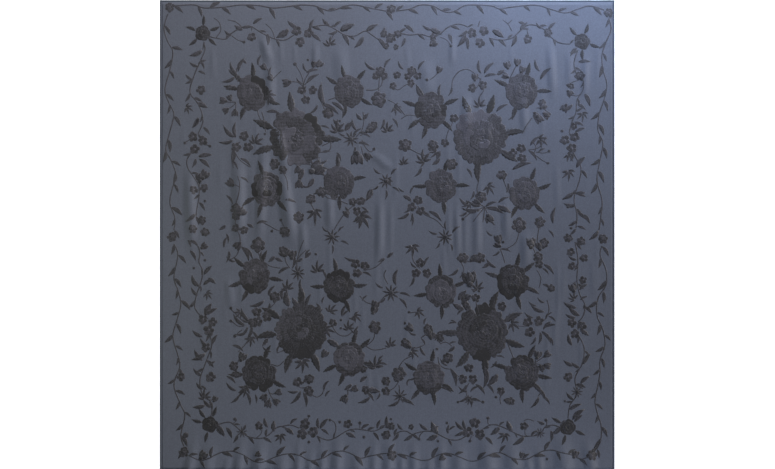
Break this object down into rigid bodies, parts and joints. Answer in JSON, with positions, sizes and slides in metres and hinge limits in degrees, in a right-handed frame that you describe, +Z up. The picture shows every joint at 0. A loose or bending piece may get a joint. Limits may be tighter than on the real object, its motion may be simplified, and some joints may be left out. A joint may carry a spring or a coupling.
{
  "type": "flamenco shawl",
  "caption": "Large square silk shawl with raised floral embroidery and rolled hems, laid out flat with soft folds and a rippled bottom edge.",
  "frame": {"origin": "under the middle of the shawl, on the surface it lies on", "axes": "+Z up off the surface, +Y towards the shawl's top edge in the picture, +X to the picture's right"},
  "size_m": [1.4, 1.45, 0.0104],
  "materials": {
    "silk_crepe": "silk crepe with a soft bluish sheen",
    "rolled_hem": "rolled silk crepe edge, whipped by hand",
    "peony_silk": "charcoal silk floss, satin stitched over padding",
    "rose_silk": "dark umber silk floss, satin stitched"
  },
  "bodies": {
    "root": {"shawl_panel": "silk_crepe", "hem_bottom": "rolled_hem", "hem_top": "rolled_hem", "hem_left": "rolled_hem", "hem_right": "rolled_hem", "peony_upper_left": "peony_silk", "peony_upper_right": "peony_silk", "peony_lower_left": "peony_silk", "peony_lower_right": "peony_silk", "rose_upper_left_1": "rose_silk", "rose_upper_left_2": "rose_silk", "rose_upper_left_3": "rose_silk", "rose_upper_left_4": "rose_silk", "rose_upper_right_1": "rose_silk", "rose_upper_right_2": "rose_silk", "rose_upper_right_3": "rose_silk", "rose_upper_right_4": "rose_silk", "rose_lower_left_1": "rose_silk", "rose_lower_left_2": "rose_silk", "rose_lower_left_3": "rose_silk", "rose_lower_left_4": "rose_silk", "rose_lower_right_1": "rose_silk", "rose_lower_right_2": "rose_silk", "rose_lower_right_3": "rose_silk", "rose_lower_right_4": "rose_silk", "corner_flower_top_left": "rose_silk", "corner_flower_top_right": "rose_silk", "corner_flower_bottom_left": "rose_silk", "corner_flower_bottom_right": "rose_silk"}
  },
  "joints": []
}
